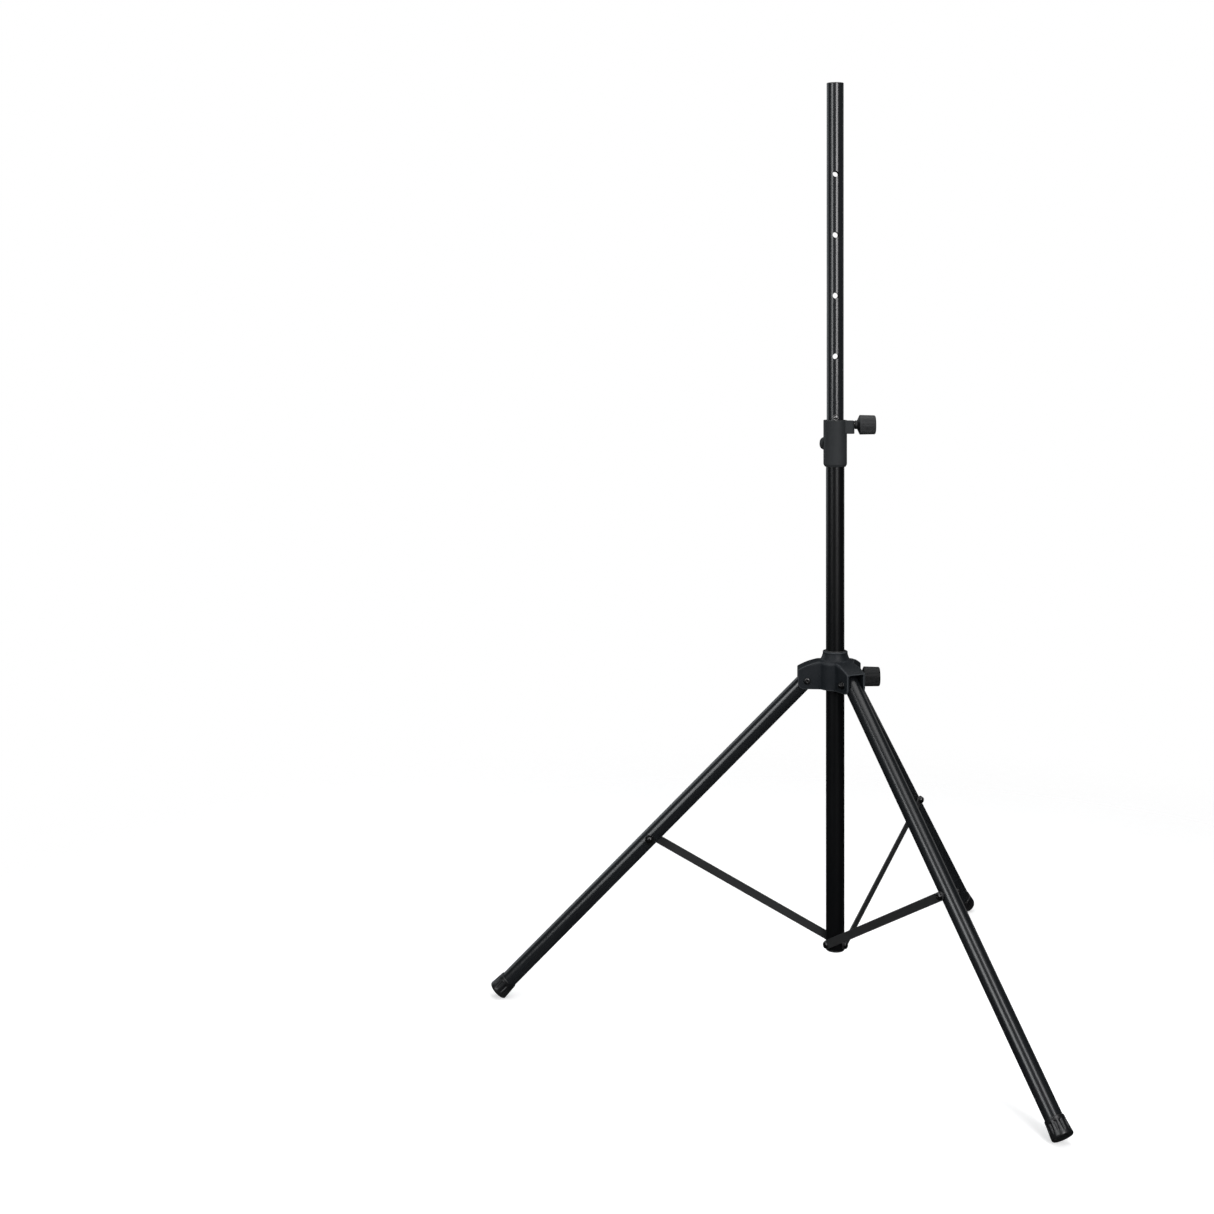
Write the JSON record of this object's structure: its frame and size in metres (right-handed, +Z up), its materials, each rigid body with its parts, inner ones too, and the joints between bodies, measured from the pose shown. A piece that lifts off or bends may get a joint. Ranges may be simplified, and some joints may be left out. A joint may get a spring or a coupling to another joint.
{
  "type": "loudspeaker tripod stand",
  "caption": "Folding steel tripod stand with a telescoping mast for pole-mounting a loudspeaker, screw-clamp knobs, flat bar braces and rubber feet.",
  "frame": {"origin": "on the floor at the mast's axis, with the stand open and standing on its feet", "axes": "+Z up along the mast; +X toward the clamp knobs; +Y completes the right hand, along the mast's cross holes"},
  "size_m": [1.0815, 1.2422, 1.9005],
  "materials": {
    "tube_black": "satin",
    "brace_black": "satin",
    "moulded_black": "fine grain",
    "knob_black": "fine grain",
    "nylon_dark": "smooth",
    "rubber_black": "matte",
    "zinc_steel": "zinc plated",
    "insert_brass": "turned"
  },
  "bodies": {
    "column": {"lower_tube": "tube_black", "base_plug": "moulded_black", "brace_pivot_screws": "zinc_steel", "brace_pivot_washers": "zinc_steel", "mast_collar": "moulded_black", "upper_thread_insert": "insert_brass", "mast_guide": "nylon_dark", "collar_screw": "zinc_steel", "collar_cap": "moulded_black"},
    "mast": {"mast_tube": "tube_black", "mast_cap": "moulded_black", "mast_shoe": "moulded_black", "lock_pin": "zinc_steel"},
    "upper_pad": {"upper_clamp_pad": "nylon_dark"},
    "upper_knob": {"upper_clamp_stud": "zinc_steel", "upper_clamp_knob": "knob_black"},
    "hub": {"leg_housing": "moulded_black", "housing_liner": "nylon_dark", "lower_thread_insert": "insert_brass", "leg_pivot_bolts": "zinc_steel", "leg_pivot_nuts": "zinc_steel"},
    "lower_pad": {"lower_clamp_pad": "nylon_dark"},
    "lower_knob": {"lower_clamp_stud": "zinc_steel", "lower_clamp_knob": "knob_black"},
    "leg_1": {"leg_tube_1": "tube_black", "leg_plug_1": "moulded_black", "foot_1": "rubber_black", "brace_nut_1": "zinc_steel"},
    "brace_arm_1": {"brace_1": "brace_black", "brace_screw_1": "zinc_steel"},
    "leg_2": {"leg_tube_2": "tube_black", "leg_plug_2": "moulded_black", "foot_2": "rubber_black", "brace_nut_2": "zinc_steel"},
    "brace_arm_2": {"brace_2": "brace_black", "brace_screw_2": "zinc_steel"},
    "leg_3": {"leg_tube_3": "tube_black", "leg_plug_3": "moulded_black", "foot_3": "rubber_black", "brace_nut_3": "zinc_steel"},
    "brace_arm_3": {"brace_3": "brace_black", "brace_screw_3": "zinc_steel"}
  },
  "joints": [
    {"name": "mast_slide", "type": "slide", "parent": "column", "child": "mast", "axis": [0, 0, 1], "range_m": [-0.6, 0.125]},
    {"name": "fold_slide", "type": "slide", "parent": "column", "child": "hub", "axis": [0, 0, 1], "range_m": [0, 0.353]},
    {"name": "upper_knob_turn", "type": "hinge", "parent": "upper_pad", "child": "upper_knob", "pos_m": [0.05, 0, 1.196], "axis": [1, 0, 0], "range_deg": [0, 720]},
    {"name": "upper_pad_slide", "type": "slide", "parent": "column", "child": "upper_pad", "axis": [1, 0, 0], "range_m": [0, 0.003]},
    {"name": "lower_knob_turn", "type": "hinge", "parent": "lower_pad", "child": "lower_knob", "pos_m": [0.06, 0, 0.6778], "axis": [1, 0, 0], "range_deg": [0, 720]},
    {"name": "lower_pad_slide", "type": "slide", "parent": "hub", "child": "lower_pad", "axis": [1, 0, 0], "range_m": [0, 0.003]},
    {"name": "leg_1_fold", "type": "hinge", "parent": "hub", "child": "leg_1", "pos_m": [0.02925, -0.05066, 0.6713], "axis": [0.866, 0.5, 0], "range_deg": [0, 44.25]},
    {"name": "brace_1_fold", "type": "hinge", "parent": "column", "child": "brace_arm_1", "pos_m": [0, 0, 0.127], "axis": [-0.866, -0.5, 0], "range_deg": [0, 53.35]},
    {"name": "leg_2_fold", "type": "hinge", "parent": "hub", "child": "leg_2", "pos_m": [0.02925, 0.05066, 0.6713], "axis": [-0.866, 0.5, 0], "range_deg": [0, 44.25]},
    {"name": "brace_2_fold", "type": "hinge", "parent": "column", "child": "brace_arm_2", "pos_m": [0, 0, 0.127], "axis": [0.866, -0.5, 0], "range_deg": [0, 53.35]},
    {"name": "leg_3_fold", "type": "hinge", "parent": "hub", "child": "leg_3", "pos_m": [-0.0585, 0, 0.6713], "axis": [0, -1, 0], "range_deg": [0, 44.25]},
    {"name": "brace_3_fold", "type": "hinge", "parent": "column", "child": "brace_arm_3", "pos_m": [0, 0, 0.127], "axis": [0, 1, 0], "range_deg": [0, 53.35]}
  ],
  "couplings": [
    {"joint": "upper_knob_turn", "follows": "upper_pad_slide", "rad_per_m": 4188.8},
    {"joint": "lower_knob_turn", "follows": "lower_pad_slide", "rad_per_m": 4188.8},
    {"joint": "leg_1_fold", "follows": "fold_slide", "rad_per_m": 2.1864},
    {"joint": "brace_1_fold", "follows": "fold_slide", "rad_per_m": 2.6357},
    {"joint": "leg_2_fold", "follows": "fold_slide", "rad_per_m": 2.1864},
    {"joint": "brace_2_fold", "follows": "fold_slide", "rad_per_m": 2.6357},
    {"joint": "leg_3_fold", "follows": "fold_slide", "rad_per_m": 2.1864},
    {"joint": "brace_3_fold", "follows": "fold_slide", "rad_per_m": 2.6357}
  ]
}
